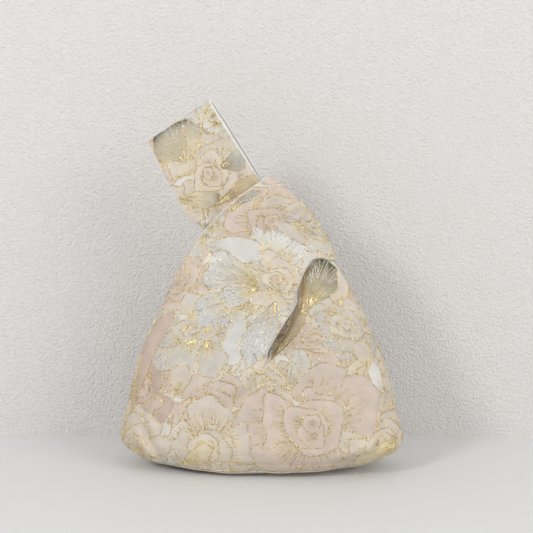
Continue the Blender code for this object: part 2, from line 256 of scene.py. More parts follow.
# The straps' edges, left and right, as (share of the strap's length, x, z). The short loop has
# some slack where the long strap enters and leaves it, and squeezes the strap between.
HANDLE_START = 0.70  # share of the long strap's length where it leaves the short loop
ENTRY_SLACK = 0.0028
EXIT_SLACK = 0.010
LOOP_SQUEEZE = 0.003
loop_along = (LOOP_EXIT - LOOP_ENTRY).normalized()
LOOP_OUT = Vector((loop_along.y, -loop_along.x))
loop_top = LOOP_EXIT + LOOP_OUT * EXIT_SLACK
loop_bottom = LOOP_ENTRY + LOOP_OUT * ENTRY_SLACK
squeezed = (LOOP_ENTRY + LOOP_EXIT) / 2 - LOOP_OUT * LOOP_SQUEEZE
SHORT_EDGES = (
    (
        (0.0, -NECK_HALF_WIDTH, NECK_HEIGHT),
        (0.35, -SEAM_HALF_WIDTH, SEAM_TOP),
        (0.62, -0.0605, 0.199),
        (0.80, -0.030, 0.2345),
        (1.0, loop_top.x, loop_top.y),
    ),
    (
        (0.0, NOTCH_LEFT, NECK_HEIGHT),
        (0.07, NOTCH_LEFT + 0.001, NECK_HEIGHT + NOTCH_RISE),
        (0.38, 0.023, 0.136),
        (0.57, 0.0325, 0.1515),
        (0.69, 0.0335, 0.1640),
        (0.87, 0.047, 0.1895),
        (1.0, loop_bottom.x, loop_bottom.y),
    ),
)
LONG_EDGES = (
    (
        (0.0, NOTCH_RIGHT, NECK_HEIGHT),
        (0.05, NOTCH_RIGHT - 0.001, NECK_HEIGHT + NOTCH_RISE),
        (0.20, 0.004, 0.124),
        (0.35, -0.007, 0.144),
        (0.52, -0.028, 0.178),
        (HANDLE_START, -0.053, 0.214),
        (0.77, -0.0635, 0.2255),
        (0.87, -0.079, 0.252),
        (1.0, -0.100, 0.293),
    ),
    (
        (0.0, NECK_HALF_WIDTH, NECK_HEIGHT),
        (0.20, SEAM_HALF_WIDTH, SEAM_TOP),
        (0.35, LOOP_ENTRY.x, LOOP_ENTRY.y),
        (0.52, squeezed.x, squeezed.y),
        (HANDLE_START, LOOP_EXIT.x, LOOP_EXIT.y),
        (1.0, -0.046, 0.328),
    ),
)
SHORT_LENGTH = 0.190
LONG_LENGTH = 0.255
LOOP_ROUND = 0.008
HANDLE_ROUND = 0.008

# The grid of the cut: the body's rows and each strap's, and the columns from seam to seam.
BODY_ROWS = 84
SHORT_ROWS = 120
LONG_ROWS = 166
STRAP_COLUMNS = 96
NOTCH_COLUMNS = 4
COLUMNS = 2 * STRAP_COLUMNS + NOTCH_COLUMNS


def round_end(share, rounding):
    """1 along the strap, falling to 0 round its end as a quarter of an ellipse."""
    left = min((1 - share) / rounding, 1.0)
    return math.sqrt(max(1 - (1 - left) ** 2, 0.0))


def strap_shares(rows, rounding):
    """Shares of a strap's length for its rows: even, then closer round its end."""
    turns = max(int(rows * rounding * 3), 6)
    even = rows - turns
    shares = [(1 - rounding) * i / even for i in range(even + 1)]
    for i in range(1, turns + 1):
        shares.append(1 - rounding * (1 - math.sin(0.5 * math.pi * i / turns)))
    return shares


def section(width, bulge, angle):
    power = 2 / SECTION_POWER
    x = math.copysign(abs(math.sin(angle)) ** power, angle) * width
    return x, max(math.cos(angle), 0.0) ** power * bulge


def notch_angle(x):
    return math.asin((x / NECK_HALF_WIDTH) ** (SECTION_POWER / 2))


QUARTER = math.pi / 2
left_end, right_start = notch_angle(NOTCH_LEFT), notch_angle(NOTCH_RIGHT)
ANGLES = [mix(-QUARTER, left_end, i / STRAP_COLUMNS) for i in range(STRAP_COLUMNS)]
ANGLES += [mix(left_end, right_start, i / NOTCH_COLUMNS) for i in range(NOTCH_COLUMNS)]
ANGLES += [mix(right_start, QUARTER, i / STRAP_COLUMNS) for i in range(STRAP_COLUMNS + 1)]

# The seam round the base stands off the table in soft waves, with raised corners.
FOOT_LIFT = 0.0036
FOOT_WAVE = 0.0008
FOOT_LEFT_LIFT = 0.0014
FOOT_RIGHT_LIFT = 0.0032
FOOT_FADE = 0.030  # the height over which the wall takes up the waves
SEAM_HALF_GAP = 0.00015
ROW_POWER = 1.25  # the body's rows lie closer near the foot


def foot_wave(x):
    """How far the seam round the base stands off the table."""
    waves = math.sin(x / 0.013 + 0.9) + 0.5 * math.sin(x / 0.0061 + 2.0)
    left = FOOT_LEFT_LIFT * smooth((-0.03 - x) / 0.05)
    right = FOOT_RIGHT_LIFT * smooth((x - 0.015) / 0.05)
    return FOOT_LIFT + FOOT_WAVE * waves + (left + right)


def raised(x, z):
    """The height that cloth of height z has over the waves of the foot."""
    return z + foot_wave(x) * (1 - smooth((z - WALL_FOOT) / FOOT_FADE))


def body_point(row, column):
    z = mix(WALL_FOOT, NECK_HEIGHT, (row / BODY_ROWS) ** ROW_POWER)
    x, out = section(*half_sizes(z), ANGLES[column])
    if column in (0, COLUMNS):
        return Vector((x, -SEAM_HALF_GAP, raised(x, z)))
    return Vector((x, -max(out + soft_dents(x, z), SEAM_HALF_GAP), raised(x, z)))


LOOP_BULGE = 0.008


def short_point(share, column, left, right):
    x0 = section(NECK_HALF_WIDTH, NECK_HALF_DEPTH, ANGLES[column])[0]
    start = (x0 + NECK_HALF_WIDTH) / (NOTCH_LEFT + NECK_HALF_WIDTH)
    across = mix(start, column / STRAP_COLUMNS, smooth(share / 0.5))
    x, z = left.lerp(right, across)
    bulge = LOOP_BULGE * 4 * across * (1 - across) * smooth((share - 0.7) / 0.3)
    x, z = x + LOOP_OUT.x * bulge, z + LOOP_OUT.y * bulge
    if column == 0 and z <= SEAM_TOP:
        return Vector((-half_sizes(z)[0], -SEAM_HALF_GAP, z))
    out = (depth(x, z) + lift(x, z)) * round_end(share, LOOP_ROUND / SHORT_LENGTH)
    return Vector((x, -max(out, SEAM_HALF_GAP), z))


# The handle: its bow, the gathers where it leaves the short loop and the dent below its top
# fold, each with its depth and, as shares of the handle's length, its place and reach.
HANDLE_BOW = 0.005
HANDLE_SWELL = 0.0009
GATHER_DEPTH, GATHER_PLACE, GATHER_REACH = 0.0013, 0.10, 0.13
GATHERS_ACROSS = 3.2
DENT_DEPTH, DENT_PLACE, DENT_REACH = 0.0016, 0.80, 0.07
EDGE_SHARE = 0.08  # share of the width over which both fade at the edges


def handle_creases(share, across):
    above = (share - HANDLE_START) / (1 - HANDLE_START)
    gathered = math.exp(-(((above - GATHER_PLACE) / GATHER_REACH) ** 2)) if above > 0 else 0.0
    ripple = math.sin(2 * math.pi * (GATHERS_ACROSS * across + 0.5 * above))
    folds = GATHER_DEPTH * gathered * ripple
    folds -= DENT_DEPTH * math.exp(-(((above - DENT_PLACE + 0.10 * across) / DENT_REACH) ** 2))
    swell = HANDLE_SWELL * noise.noise(Vector((4 * across, 9.1, 5 * share))) * smooth(above / 0.1)
    return folds * smooth(across / EDGE_SHARE) * smooth((1 - across) / EDGE_SHARE) + swell


def long_point(share, column, left, right):
    x0 = section(NECK_HALF_WIDTH, NECK_HALF_DEPTH, ANGLES[column])[0]
    start = (x0 - NOTCH_RIGHT) / (NECK_HALF_WIDTH - NOTCH_RIGHT)
    step = column - STRAP_COLUMNS - NOTCH_COLUMNS
    across = mix(start, step / STRAP_COLUMNS, smooth(share / 0.5))
    x, z = left.lerp(right, across)
    if column == COLUMNS and z <= SEAM_TOP:
        return Vector((half_sizes(z)[0], -SEAM_HALF_GAP, z))
    above = max((share - HANDLE_START) / (1 - HANDLE_START), 0.0)
    bow = HANDLE_BOW * math.sin(math.pi * above)
    flat = max(depth(x, z) - drape(x, z), LONG_HALF_GAP * armhole_opening(z))
    creased = flat + bow + handle_creases(share, across)
    out = creased * round_end(share, HANDLE_ROUND / LONG_LENGTH)
    return Vector((x, -max(out, SEAM_HALF_GAP), z))


SHORT_SHARES = strap_shares(SHORT_ROWS, LOOP_ROUND / SHORT_LENGTH)
LONG_SHARES = strap_shares(LONG_ROWS, HANDLE_ROUND / LONG_LENGTH)
SHORT_COLUMNS = range(STRAP_COLUMNS + 1)
LONG_COLUMNS = range(STRAP_COLUMNS + NOTCH_COLUMNS, COLUMNS + 1)
surface = {}
for row in range(BODY_ROWS + 1):
    for column in range(COLUMNS + 1):
        surface[row, column] = body_point(row, column)
for edges, shares, columns, strap_point in (
    (SHORT_EDGES, SHORT_SHARES, SHORT_COLUMNS, short_point),
    (LONG_EDGES, LONG_SHARES, LONG_COLUMNS, long_point),
):
    for i, share in enumerate(shares[1:], start=1):
        left, right = (curve(edge, share) for edge in edges)
        for column in columns:
            surface[BODY_ROWS + i, column] = strap_point(share, column, left, right)

# The cloth laid flat again: each point's place on the uncut fabric, from lengths along the
# rows and columns, so that the woven pattern keeps its scale and runs on from the body
# into both straps.
flat_place = {}


def lay_rows(rows, columns, middle, low):
    """Gives each row's points their place: across it from its middle, and up from the row below."""
    up = low
    for n, row in enumerate(rows):
        points = [surface[row, c] for c in columns]
        if n:
            below = [surface[rows[n - 1], c] for c in columns]
            up += sum((a - b).length for a, b in zip(points, below)) / len(points)
        steps = [0.0]
        for a, b in zip(points, points[1:]):
            steps.append(steps[-1] + (b - a).length)
        for c, step in zip(columns, steps):
            if n or not low:
                flat_place[row, c] = Vector((middle + step - steps[-1] / 2, up))
    return up


neck_up = lay_rows(list(range(BODY_ROWS + 1)), range(COLUMNS + 1), 0.0, 0.0)
neck = [flat_place[BODY_ROWS, c].x for c in range(COLUMNS + 1)]
short_middle = (neck[0] + neck[STRAP_COLUMNS]) / 2
long_middle = (neck[STRAP_COLUMNS + NOTCH_COLUMNS] + neck[-1]) / 2
lay_rows([BODY_ROWS + i for i in range(SHORT_ROWS + 1)], SHORT_COLUMNS, short_middle, neck_up)
lay_rows([BODY_ROWS + i for i in range(LONG_ROWS + 1)], LONG_COLUMNS, long_middle, neck_up)
keys = sorted(surface)
points = np.array([surface[k] for k in keys])
flats = np.array([flat_place[k] for k in keys])


def on_flat(x, z):
    """Where the cloth that shows at x and z on the front lies on the flat fabric."""
    gap = np.hypot(points[:, 0] - x, points[:, 2] - z)
    near = np.where(gap < max(0.003, gap.min() * 1.01))[0]
    return flats[near[np.argmin(points[near, 1])]]


# The woven pattern: full-blown roses and peonies, each a pile of petals that are laid one
# over the other, and between them plain silver-white ground and a few leaves.
def rgb(red, green, blue):
    """A colour as seen, 0 to 255, as linear values."""
    return np.array([((v / 255 + 0.055) / 1.055) ** 2.4 for v in (red, green, blue)])


GROUND = rgb(211, 206, 199)
GROUND_LAME = 0.20
# A petal's tint at its inner end and at its rim, its lame, how close its hatching is, and how
# slowly the one tint gives way to the other.
PALETTES = {
    "pink": (rgb(199, 180, 163), rgb(208, 194, 182), 0.12, 0.9, 0.8),
    "tan": (rgb(190, 167, 152), rgb(203, 184, 171), 0.10, 1.0, 0.8),
    "cream": (rgb(208, 193, 167), rgb(213, 203, 191), 0.18, 0.9, 0.8),
    "yellow": (rgb(212, 192, 142), rgb(216, 204, 178), 0.20, 1.6, 0.6),
    "mint": (rgb(197, 188, 171), rgb(209, 203, 194), 0.26, 1.6, 0.8),
    "silver": (rgb(200, 180, 136), rgb(222, 221, 217), 0.42, 2.2, 0.7),
    # gold at the inner end, going to painted shade at the rim, where the hollow runs under the
    # short loop's corner
    "gold": (rgb(208, 196, 164), rgb(98, 86, 52), 0.14, 3.0, 2.2),
    "ash": (rgb(150, 146, 130), rgb(220, 218, 214), 0.40, 2.4, 0.3),
    "steel": (rgb(112, 106, 90), rgb(204, 199, 186), 0.50, 3.2, 0.6),
    # painted shade: pale at the inner end, going dark at the rim, laid along the handle's top fold
    # and on the handle above the short loop
    "smoke": (rgb(215, 203, 177), rgb(108, 102, 88), 0.36, 1.2, 4.5),
    # painted shade: dark brown at the inner end, in the neckline's slit and along the short loop's
    # edge on the handle
    "bronze": (rgb(96, 60, 22), rgb(206, 188, 156), 0.08, 3.4, 0.55),
    # painted shade: brownish, down the left side of the hollow beside the neckline
    "honey": (rgb(212, 192, 154), rgb(182, 150, 98), 0.09, 2.2, 1.0),
    "white": (rgb(212, 208, 203), rgb(215, 212, 208), 0.10, 0.2, 1.0),
}
# Across (mm, from the middle of the bag), height, radius, turn and palette, from the lowest up.
FRONT_FLOWERS = (
    (-108, 84, 46, 0.3, "tan"),
    (-112, 20, 38, 1.1, "cream"),
    (114, 30, 46, 0.6, "cream"),
    (94, 92, 38, 0.2, "cream"),
    (-4, 22, 40, 2.0, "mint"),
    (46, 124, 38, 0.9, "pink"),
    (-74, 174, 30, 0.4, "pink"),
    (-30, 104, 30, 1.4, "silver"),
    (-88, 286, 34, 0.2, "pink"),
    (-30, 322, 40, 1.8, "silver"),
    (-46, 222, 26, 0.8, "silver"),
    (4, 222, 42, 0.5, "pink"),
    (50, 220, 26, 1.0, "mint"),
    (76, 134, 32, 0.1, "mint"),
    (-58, 130, 44, 0.6, "mint"),
    (8, 168, 52, 3.0, "silver"),
    (15, 173, 30, 1.1, "cream"),
    (-38, 62, 34, 0.9, "pink"),
    (7, 87, 24, 0.5, "cream"),
    (49, 48, 56, 0.3, "pink"),
    (-44, 24, 38, 0.2, "cream"),
    (-42, 260, 38, 0.6, "cream"),
)
BACK_FLOWERS = (
    (104, 80, 38, 0.8, "pink"),
    (110, 20, 34, 0.1, "cream"),
    (-110, 30, 42, 1.6, "cream"),
    (-90, 98, 34, 1.2, "mint"),
    (4, 18, 36, 1.0, "silver"),
    (-44, 126, 34, 1.9, "cream"),
    (-70, 172, 28, 1.4, "pink"),
    (34, 98, 26, 0.4, "pink"),
    (-84, 288, 26, 1.2, "cream"),
    (-36, 318, 30, 0.8, "pink"),
    (-46, 224, 22, 1.8, "mint"),
    (0, 224, 34, 1.5, "silver"),
    (48, 222, 26, 0.0, "pink"),
    (54, 172, 34, 1.7, "pink"),
    (76, 134, 28, 1.1, "cream"),
    (-20, 150, 40, 1.6, "mint"),
    (14, 176, 30, 0.1, "yellow"),
    (48, 58, 46, 1.9, "cream"),
    (-6, 92, 28, 1.5, "yellow"),
    (-46, 52, 50, 1.3, "pink"),
    (-47, 263, 33, 1.6, "silver"),
)
# Single petals over the flowers, some of them painted shade: from where (mm) to where, half width
# and palette.
FRONT_PETALS = (
    (-50, 202, -2, 198, 10, "white"),
    (-14, 150, -20, 108, 9, "white"),
    (112, 74, 102, 99, 6, "white"),
    (74, 150, 66, 182, 11, "cream"),
    # painted shade on the long strap, where the short strap's edge shades it beside the neckline
    (14, 106, 34, 147, 5.5, "bronze"),
    # painted shade down the left side of the hollow
    (36, 144, 47, 180, 9, "honey"),
    # gold petal in the hollow, with painted shade at its top under the short loop's corner
    (42, 150, 57, 185, 13, "gold"),
    (-33, 268, -10, 281, 8, "steel"),
    # painted shade along the handle's top fold and above the short loop
    (-58, 280, -71, 309, 15, "smoke"),
    (-68, 276, -89, 300, 15, "smoke"),
    (-70, 242, -36, 242, 7, "smoke"),
    # painted shade along the short loop's edge on the handle
    (-39, 233.7, -8.5, 257, 5, "bronze"),
    (-24, 232, 0, 248, 4, "steel"),
    (-9, 233, 25, 243, 6, "cream"),
    (0, 171, -45, 184, 14, "silver"),
    (-2, 168, -33, 154, 11, "silver"),
    (16, 156, -2, 109, 13, "ash"),
    (-54, 124, -72, 97, 13, "mint"),
    (-45, 122, -37, 97, 12, "mint"),
    (-117, 52, -86, 134, 10, "tan"),
    (-74, 72, -66, 98, 9, "cream"),
    (28, 80, 39, 112, 8, "mint"),
    (99, 96, 89, 118, 8, "cream"),
    (125, 34, 92, 12, 10, "yellow"),
    (-112, 16, -80, 30, 9, "cream"),
    (-66, 8, -46, 26, 8, "yellow"),
)
BACK_PETALS = (
    (50, 200, 2, 196, 10, "white"),
    (28, 150, 26, 112, 8, "white"),
    (-6, 168, 40, 182, 13, "silver"),
    (-10, 148, 10, 112, 12, "ash"),
    # painted shade along the handle's top fold
    (-58, 280, -71, 309, 15, "smoke"),
    (-68, 276, -89, 300, 15, "smoke"),
    (-33, 266, -12, 276, 8, "steel"),
    (60, 122, 78, 96, 12, "mint"),
    (112, 60, 88, 130, 10, "tan"),
    (-98, 92, -108, 62, 9, "cream"),
    (-120, 34, -90, 12, 10, "yellow"),
    (112, 14, 80, 28, 9, "yellow"),
)
# Petals in a ring, then where they start, reach and how wide they are as shares of the radius.
RINGS = ((5, 0.30, 1.05, 0.64), (3, 0.14, 0.72, 0.52))
FURLS = (0.47, 0.36, 0.25, 0.15)  # the furled petals' radii, as shares of the flower's
FURL_SHIFT = 0.085  # each a little off the flower's middle, as a share of the radius
FILLERS = 120  # loose petals that fill the ground
SINGLE_REACH = 1.12
THREAD_STEP = 0.0009
STRIPE_PITCH = 0.0012
HATCH_PITCH = 0.00075
HATCH_FILLED = 0.85  # share of the strokes that are there
RIM_LAME = 0.30  # shinier petals have strokes back from their rim too
RIM_STROKES = 0.45  # and these are this share


def evenly(line, step):
    """The same line with its points a step apart."""
    lengths = np.concatenate([[0], np.cumsum(np.hypot(*np.diff(line, axis=0).T))])
    count = max(int(lengths[-1] / step), 2)
    at = np.linspace(0, lengths[-1], count + 1)
    return np.stack([np.interp(at, lengths, line[:, 0]), np.interp(at, lengths, line[:, 1])], 1)


def closed_outline(centre, way, along, side):
    """A closed outline from its lengths along a way from the centre and to the side of it."""
    x = centre[0] + along * math.cos(way) - side * math.sin(way)
    y = centre[1] + along * math.sin(way) + side * math.cos(way)
    outline = np.stack([x, y], 1)
    outline[-1] = outline[0]
    return outline


def petal_outline(centre, way, base, reach, half_width, chance):
    """A broad petal with a softly waved edge, from near the flower's middle outwards."""
    turns = np.linspace(0, 2 * math.pi, 49)
    out = 0.5 - 0.5 * np.cos(turns)
    a, b, c = (chance.uniform(0, 6.28) for _ in range(3))
    along = base + (reach - base) * out
    along += half_width * out * (0.13 * np.sin(3 * turns + a) + 0.06 * np.sin(7 * turns + b))
    side = half_width * np.sin(turns) * (0.70 - 0.34 * np.cos(turns))
    side += half_width * 0.07 * np.sin(5 * turns + c) * np.sin(turns / 2)
    return closed_outline(centre, way, along, side)


def furl_outline(centre, way, base, radius, half_width, chance):
    """One of the furled petals round a rose's heart: a lopsided, softly cornered oval."""
    turns = np.linspace(0, 2 * math.pi, 41)
    a = chance.uniform(0, 6.28)
    out = radius * (1 + 0.09 * np.sin(3 * turns + a) + 0.04 * np.sin(5 * turns - a))
    squash = chance.uniform(0.80, 0.95)
    return closed_outline(centre, way, out * np.cos(turns), squash * out * np.sin(turns))


def petal_of(outline, centre, way, base, reach, wide, palette, chance):
    """A petal's outline with its tints, its shine and where its hatching fans out from."""
    inner, outer, lame, strokes, fade = PALETTES[palette]
    pale = chance.uniform(0.96, 1.04)
    lame = min(max(lame + chance.uniform(-0.10, 0.20), 0.0), 0.8)
    return SimpleNamespace(
        outline=outline,
        centre=centre,
        way=way,
        base=base,
        reach=reach,
        wide=wide,
        inner=inner * pale,
        outer=outer * pale,
        lame=lame,
        strokes=strokes,
        fade=fade,
    )


def pattern(flowers, singles, chance):
    """Every petal from the lowest up: loose ones that fill the ground, then the flowers."""
    petals = []

    def add(shape, centre, way, sizes, palette):
        outline = shape(centre, way, *sizes, chance)
        petals.append(petal_of(outline, centre, way, *sizes, palette, chance))

    low, high = flats.min(axis=0), flats.max(axis=0)
    for _ in range(FILLERS):
        centre = np.array([chance.uniform(low[i], high[i]) for i in (0, 1)])
        way, reach = chance.uniform(0, 6.28), chance.uniform(0.026, 0.040)
        wide = reach * chance.uniform(0.38, 0.5)
        palette = chance.choice(("pink", "cream", "silver", "mint", "pink"))
        add(petal_outline, centre, way, (0.0, reach, wide), palette)
    for x, z, radius, turn, palette in flowers:
        centre, size = on_flat(x / 1000, z / 1000), radius / 1000
        for ring, (count, base, reach, width) in enumerate(RINGS):
            start = turn + 0.6 * ring
            for i in range(count):
                way = start + 2 * math.pi * i / count + chance.uniform(-0.2, 0.2)
                grown = size * chance.uniform(0.85, 1.12)
                sizes = (base * size, reach * grown, width * grown)
                add(petal_outline, centre, way, sizes, palette)
        for n, share in enumerate(FURLS):
            way = turn + 2.4 * n
            middle = centre + FURL_SHIFT * size * np.array([math.cos(way), math.sin(way)])
            sizes = (0.3 * share * size, share * size, 0.9 * share * size)
            add(furl_outline, middle, way, sizes, palette)
    for x, z, end_x, end_z, wide, palette in singles:
        centre, end = on_flat(x / 1000, z / 1000), on_flat(end_x / 1000, end_z / 1000)
        way = math.atan2(*(end - centre)[::-1])
        reach = SINGLE_REACH * math.hypot(*(end - centre))
        add(petal_outline, centre, way, (0.0, reach, wide / 700), palette)
    return petals


def inside(outline, places):
    """Which of the places lie inside a closed outline."""
    found = np.zeros(len(places), bool)
    low, high = outline.min(axis=0), outline.max(axis=0)
    near = np.where(((places >= low) & (places <= high)).all(axis=1))[0]
    if not len(near):
        return found
    x, y = places[near, 0][:, None], places[near, 1][:, None]
    a, b = outline[:-1], outline[1:]
    crosses = (a[:, 1] > y) != (b[:, 1] > y)
    rise = np.where(b[:, 1] == a[:, 1], 1e-12, b[:, 1] - a[:, 1])
    left_of = x < a[:, 0] + (y - a[:, 1]) * (b[:, 0] - a[:, 0]) / rise
    found[near] = (crosses & left_of).sum(axis=1) % 2 == 1
    return found


def owners(petals, places):
    """The uppermost petal at each place, or -1 on the plain ground."""
    top = np.full(len(places), -1)
    for i, petal in enumerate(petals):
        top[inside(petal.outline, places)] = i
    return top


def runs(line, keep):
    """The unbroken stretches of a line that are kept."""
    stretch = []
    for place, kept in zip(line, keep):
        if kept:
            stretch.append(place)
            continue
        if len(stretch) > 2:
            yield np.array(stretch)
        stretch = []
    if len(stretch) > 2:
        yield np.array(stretch)


def outline_lines(petals):
    """The threads round the petals, where no upper petal covers them."""
    lines = []
    for i, petal in enumerate(petals):
        line = evenly(petal.outline, THREAD_STEP)
        covered = owners(petals[i + 1 :], line) >= 0
        lines.extend(runs(line, ~covered))
    return lines


def hatch_lines(petals, chance):
    """Fine strokes that fan out over each petal from its inner end, and some back from its rim."""
    from_base, from_rim = [], []
    for i, petal in enumerate(petals):
        count = int(petal.wide / HATCH_PITCH * petal.strokes)
        spread = petal.wide / petal.reach
        out = np.arange(petal.base * 0.9, petal.reach * 1.05, 0.0010)
        strokes = []
        for k in range(count):
            way = petal.way + spread * (2 * (k + chance.random()) / count - 1) * 1.1
            turned = way + chance.uniform(-0.25, 0.25) * (out / petal.reach) ** 2
            fan = petal.centre + np.stack([out * np.cos(turned), out * np.sin(turned)], 1)
            strokes.append((fan, chance.random(), chance.uniform(0.2, 0.7)))
        if not strokes:
            continue
        mine = owners(petals[i:], np.concatenate([fan for fan, _, _ in strokes])) == 0
        for (fan, draw, share), shown in zip(strokes, mine.reshape(count, -1)):
            line = fan[shown]
            length = max(int(len(line) * share), 3)
            if len(line) < 5 or draw > HATCH_FILLED:
                continue
            if petal.lame > RIM_LAME and draw < RIM_STROKES:
                from_rim.append(line[-length:])
            else:
                from_base.append(line[:length])
    return from_base, from_rim


# The brocade itself. The shaders of all the pieces are built with these helpers.
def set_sockets(tree, node, values):
    """Sets each of a node's inputs to a value, or links it to another node's output."""
    for name, value in values.items():
        if isinstance(value, bpy.types.NodeSocket):
            tree.links.new(value, node.inputs[name])
        else:
            node.inputs[name].default_value = value
    return node


def add_node(tree, kind, values):
    return set_sockets(tree, tree.nodes.new(kind), values)


def new_material(name):
    material = bpy.data.materials.new(name)
    material.use_nodes = True
    return material, material.node_tree, material.node_tree.nodes["Principled BSDF"]


def noise_on(tree, place, scale, detail=2.0):
    values = {"Vector": place, "Scale": scale, "Detail": detail}
    return add_node(tree, "ShaderNodeTexNoise", values).outputs["Fac"]


def bump_of(tree, height, strength, distance):
    values = {"Height": height, "Strength": strength, "Distance": distance}
    return add_node(tree, "ShaderNodeBump", values).outputs["Normal"]


def cloth_uv(tree):
    node = tree.nodes.new("ShaderNodeUVMap")
    node.uv_map = "cloth"
    return node.outputs["UV"]


def brocade_material():
    """Tinted petals on a silky ground: lame shines, and stripes of foil darken it in lines."""
    material, tree, shader = new_material("brocade")
    uv = cloth_uv(tree)

    def attribute(name, output="Fac"):
        node = tree.nodes.new("ShaderNodeAttribute")
        node.attribute_name = name
        return node.outputs[output]

    def math_of(operation, *values):
        node = add_node(tree, "ShaderNodeMath", dict(enumerate(values)))
        node.operation = operation
        return node.outputs["Value"]

    levels = {"From Min": 0.3, "From Max": 0.7, "To Min": 0.90, "To Max": 1.06}
    levels["Value"] = noise_on(tree, uv, 90.0, 4.0)
    shade = add_node(tree, "ShaderNodeMapRange", levels).outputs["Result"]
    lame = attribute("lame")
    stripe = math_of("ADD", math_of("SINE", attribute("stripe")), 1.0)
    woven = math_of("MULTIPLY", stripe, attribute("hatch"))
    streaks = math_of("ADD", math_of("MULTIPLY", lame, -0.32), -0.02)
    darker = math_of("ADD", math_of("MULTIPLY", woven, streaks), 1.05)
    tinted = tree.nodes.new("ShaderNodeVectorMath")
    tinted.operation = "SCALE"
    darker = math_of("MULTIPLY", shade, darker)
    set_sockets(tree, tinted, {0: attribute("tint", "Color"), "Scale": darker})
    rough = add_node(tree, "ShaderNodeMapRange", {"Value": lame, "To Min": 0.60, "To Max": 0.38})
    waves = {"Vector": uv, "Scale": 520.0, "Distortion": 1.5}
    ribs = add_node(tree, "ShaderNodeTexWave", waves)
    ribs.bands_direction = "Y"
    height = math_of("ADD", ribs.outputs["Fac"], noise_on(tree, uv, 420.0, 3.0))
    height = math_of("ADD", height, math_of("MULTIPLY", woven, 0.5))
    values = {
        "Base Color": tinted.outputs["Vector"],
        "Metallic": lame,
        "Roughness": rough.outputs["Result"],
        "Normal": bump_of(tree, height, 0.5, 0.00022),
        "Sheen Weight": 0.20,
        "Sheen Roughness": 0.5,
    }
    set_sockets(tree, shader, values)
    return material


def thread_material(name, dark, bright, roughness, metallic):
    """Metal foil wound on a core, with painted glints: its colour is bright in spots and dark
    between them.
    """
    material, tree, shader = new_material(name)
    place = tree.nodes.new("ShaderNodeTexCoord").outputs["Object"]
    ramp = add_node(tree, "ShaderNodeValToRGB", {"Fac": noise_on(tree, place, 700.0, 1.0)})
    for element, position, colour in zip(ramp.color_ramp.elements, (0.38, 0.64), (dark, bright)):
        element.position = position
        element.color = (*colour, 1.0)
    values = {"Metallic": metallic, "Roughness": roughness, "Base Color": ramp.outputs["Color"]}
    set_sockets(tree, shader, values)
    return material


brocade = brocade_material()
# painted glints: each thread's colour goes from dark to bright in spots
gold_thread = thread_material("gold_thread", (0.50, 0.35, 0.13), (1.0, 0.88, 0.54), 0.34, 0.9)
fine_gold = thread_material("fine_gold", (0.56, 0.44, 0.22), (0.92, 0.82, 0.54), 0.40, 0.9)
fine_silver = thread_material("fine_silver", (0.46, 0.45, 0.41), (0.86, 0.85, 0.81), 0.34, 0.6)


def panel_mesh(side, every):
    """The cloth's grid with its straps and notch cut free, each corner's grid place kept."""
    columns, rows = COLUMNS // every, (BODY_ROWS + LONG_ROWS) // every
    bm = bmesh.new()
    bmesh.ops.create_grid(bm, x_segments=columns, y_segments=rows, size=0.5)
    place = bm.verts.layers.int.new("place")
    for vertex in bm.verts:
        column = round((vertex.co.x + 0.5) * columns) * every
        row = round((vertex.co.y + 0.5) * rows) * every
        vertex[place] = row * (COLUMNS + 1) + column

    def cut_away(face):
        found = [divmod(v[place], COLUMNS + 1) for v in face.verts]
        low_row, low_column = min(f[0] for f in found), min(f[1] for f in found)
        if low_row < BODY_ROWS:
            return False
        if STRAP_COLUMNS <= low_column < STRAP_COLUMNS + NOTCH_COLUMNS:
            return True
        return low_column < STRAP_COLUMNS and low_row >= BODY_ROWS + SHORT_ROWS

    bmesh.ops.delete(bm, geom=[f for f in bm.faces if cut_away(f)], context="FACES")
    for vertex in bm.verts:
        x, y, z = surface[divmod(vertex[place], COLUMNS + 1)]
        vertex.co = (x, y * -side, z)
    if side > 0:
        bmesh.ops.reverse_faces(bm, faces=bm.faces[:])
    cloth = bm.loops.layers.uv.new("cloth")
    for face in bm.faces:
        face.smooth = True
        for loop in face.loops:
            loop[cloth].uv = flat_place[divmod(loop.vert[place], COLUMNS + 1)]
    bm.normal_update()
    return bm


def mesh_of(bm, name, material):
    mesh = bpy.data.meshes.new(name)
    bm.to_mesh(mesh)
    bm.free()
    mesh.materials.append(material)
    return mesh


def add_piece(name, data, thickness=0.0):
    """One piece of the bag, with its cloth's thickness laid on inwards where it has one."""
    piece = bpy.data.objects.new(name, data)
    bpy.context.collection.objects.link(piece)
    if thickness:
        thick = piece.modifiers.new("thickness", "SOLIDIFY")
        thick.thickness = thickness
        thick.offset = -1.0
    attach(piece, "root")
    return piece


def write_tints(mesh, tints, values):
    """Each vertex's tint and other values, as attributes that the brocade's shader reads."""
    colours = np.concatenate([tints, np.ones((len(tints), 1))], axis=1).ravel()
    mesh.attributes.new("tint", "FLOAT_COLOR", "POINT").data.foreach_set("color", colours)
    for name, numbers in values.items():
        mesh.attributes.new(name, "FLOAT", "POINT").data.foreach_set("value", numbers)


